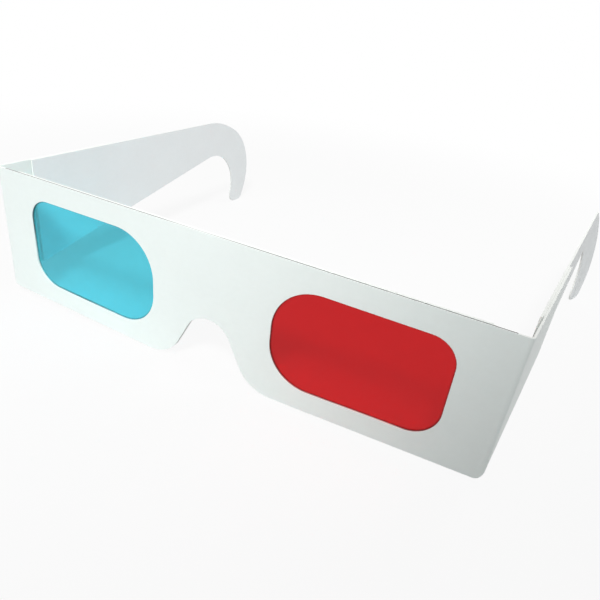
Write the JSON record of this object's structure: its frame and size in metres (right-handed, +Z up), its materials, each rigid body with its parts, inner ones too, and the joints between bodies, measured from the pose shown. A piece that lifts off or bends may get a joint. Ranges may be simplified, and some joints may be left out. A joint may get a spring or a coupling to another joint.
{
  "type": "stereoscopic glasses",
  "caption": "Folding card viewing glasses with a cyan and a red colour filter, a bell-shaped nose notch and hooked card temples on creased folds.",
  "frame": {"origin": "under the middle of the whole object's box, on the plane that it stands on", "axes": "+X towards the red filter, the wearer's left; +Y from the front face back along the temples; +Z up"},
  "size_m": [0.1606, 0.1294, 0.039],
  "materials": {
    "front_sheet": "coated white card, satin",
    "rear_sheet": "uncoated white card, matt",
    "temple_card": "coated white card, satin",
    "cyan_film": "clear tinted film, glossy",
    "red_film": "clear tinted film, glossy",
    "adhesive": "dried adhesive"
  },
  "bodies": {
    "front": {"front_card": "front_sheet", "rear_card": "rear_sheet", "panel_adhesive": "adhesive", "cyan_filter": "cyan_film", "red_filter": "red_film"},
    "left_arm": {"left_flap": "front_sheet", "left_temple": "temple_card", "left_temple_adhesive": "adhesive"},
    "right_arm": {"right_flap": "front_sheet", "right_temple": "temple_card", "right_temple_adhesive": "adhesive"}
  },
  "joints": [
    {"name": "left_fold", "type": "hinge", "parent": "front", "child": "left_arm", "pos_m": [-0.07919, -0.06346, 0.02], "axis": [0, 0, -1], "range_deg": [-90.7, 89.3]},
    {"name": "right_fold", "type": "hinge", "parent": "front", "child": "right_arm", "pos_m": [0.06331, -0.06346, 0.02], "axis": [0, 0, 1], "range_deg": [-84.2, 91.8]}
  ]
}
